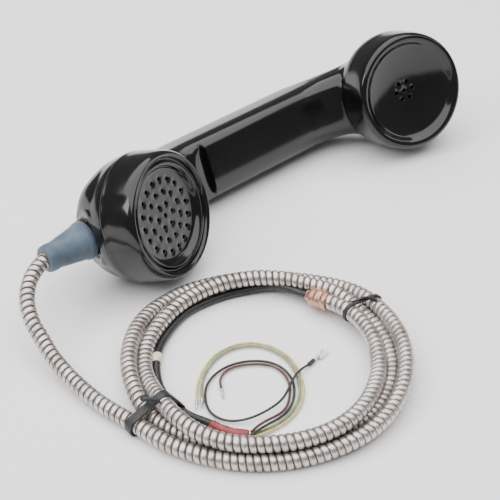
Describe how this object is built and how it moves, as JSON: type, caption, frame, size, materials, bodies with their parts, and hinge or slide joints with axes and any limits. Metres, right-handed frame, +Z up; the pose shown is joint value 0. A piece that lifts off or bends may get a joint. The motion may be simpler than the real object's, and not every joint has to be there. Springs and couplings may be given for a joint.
{
  "type": "telephone handset",
  "caption": "Gloss black handset with screwed mouth and ear caps, rubber boot and armoured cord coiled flat beside it, ending in a crimp and bare conductors",
  "frame": {"origin": "centre of the handset's own box in X and Y (without the free cord), on the surface it lies on", "axes": "+X from the mouth end to the ear end, caps face -Y and tip up 22.5 degrees, +Z up"},
  "size_m": [0.2718, 0.1934, 0.0604],
  "materials": {
    "black_gloss_plastic": "moulded, polished",
    "gasket_rubber": "matt",
    "acoustic_cloth": "woven",
    "capsule_can": "satin",
    "dark_matte_plastic": "moulded",
    "brass": "satin",
    "white_insulation": "extruded",
    "red_insulation": "extruded",
    "foam": "open-cell foam",
    "boot_rubber": "matt blue-grey",
    "armour_steel": "interlocked stainless strip",
    "retainer_steel": "plated",
    "crimp_copper": "copper-toned, satin",
    "jacket_black": "satin",
    "ivory_tape": "matt",
    "heat_shrink_red": "satin",
    "tie_black": "moulded nylon",
    "yellow_insulation": "extruded",
    "green_insulation": "extruded",
    "dark_insulation": "extruded",
    "red_lead_insulation": "extruded",
    "lug_tin": "tinned",
    "lug_sleeve": "moulded"
  },
  "bodies": {
    "handset": {"handle_shell": "black_gloss_plastic", "mic_screen": "acoustic_cloth", "mic_capsule": "capsule_can", "mic_contact_cup": "dark_matte_plastic", "mic_spring_a": "brass", "mic_screw_a": "brass", "mic_spring_b": "brass", "mic_screw_b": "brass", "receiver_screen": "acoustic_cloth", "receiver_capsule": "capsule_can", "receiver_terminal_block": "dark_matte_plastic", "receiver_screw_a": "brass", "receiver_screw_b": "brass", "receiver_wire_white": "white_insulation", "receiver_wire_red": "red_insulation", "handle_foam_plug": "foam", "cord_boot": "boot_rubber", "conduit_tail": "armour_steel", "cord_retainer": "retainer_steel", "conduit_lead": "armour_steel", "conduit_coil": "armour_steel", "conduit_ferrule": "crimp_copper", "jacket_cable_upper": "jacket_black", "jacket_cable_lower": "jacket_black", "jacket_band": "ivory_tape", "heat_shrink": "heat_shrink_red", "conductor_yellow": "yellow_insulation", "conductor_green": "green_insulation", "conductor_black": "dark_insulation", "conductor_red": "red_lead_insulation", "pin_terminal_yellow": "lug_tin", "pin_terminal_green": "lug_tin", "pin_terminal_red": "lug_tin", "lug_sleeve": "lug_sleeve", "spade_lug_black": "lug_tin", "cable_tie_left": "tie_black", "cable_tie_right": "tie_black"},
    "mouth_gasket": {"mouth_gasket": "gasket_rubber"},
    "mouth_cap": {"mouth_cap": "black_gloss_plastic"},
    "ear_gasket": {"ear_gasket": "gasket_rubber"},
    "ear_cap": {"ear_cap": "black_gloss_plastic"}
  },
  "joints": [
    {"name": "mouth_cap_lift", "type": "slide", "parent": "handset", "child": "mouth_gasket", "axis": [0.3064, -0.8793, 0.3647], "range_m": [0, 0.00375]},
    {"name": "mouth_cap_turn", "type": "hinge", "parent": "mouth_gasket", "child": "mouth_cap", "pos_m": [-0.0664, -0.02227, 0.03429], "axis": [0.3064, -0.8793, 0.3647], "range_deg": [0, 540]},
    {"name": "ear_cap_lift", "type": "slide", "parent": "handset", "child": "ear_gasket", "axis": [-0.2475, -0.8949, 0.3712], "range_m": [0, 0.00375]},
    {"name": "ear_cap_turn", "type": "hinge", "parent": "ear_gasket", "child": "ear_cap", "pos_m": [0.0897, -0.02227, 0.03429], "axis": [-0.2475, -0.8949, 0.3712], "range_deg": [0, 540]}
  ],
  "couplings": [
    {"joint": "mouth_cap_lift", "follows": "mouth_cap_turn", "m_per_rad": 0.00039789},
    {"joint": "ear_cap_lift", "follows": "ear_cap_turn", "m_per_rad": 0.00039789}
  ]
}
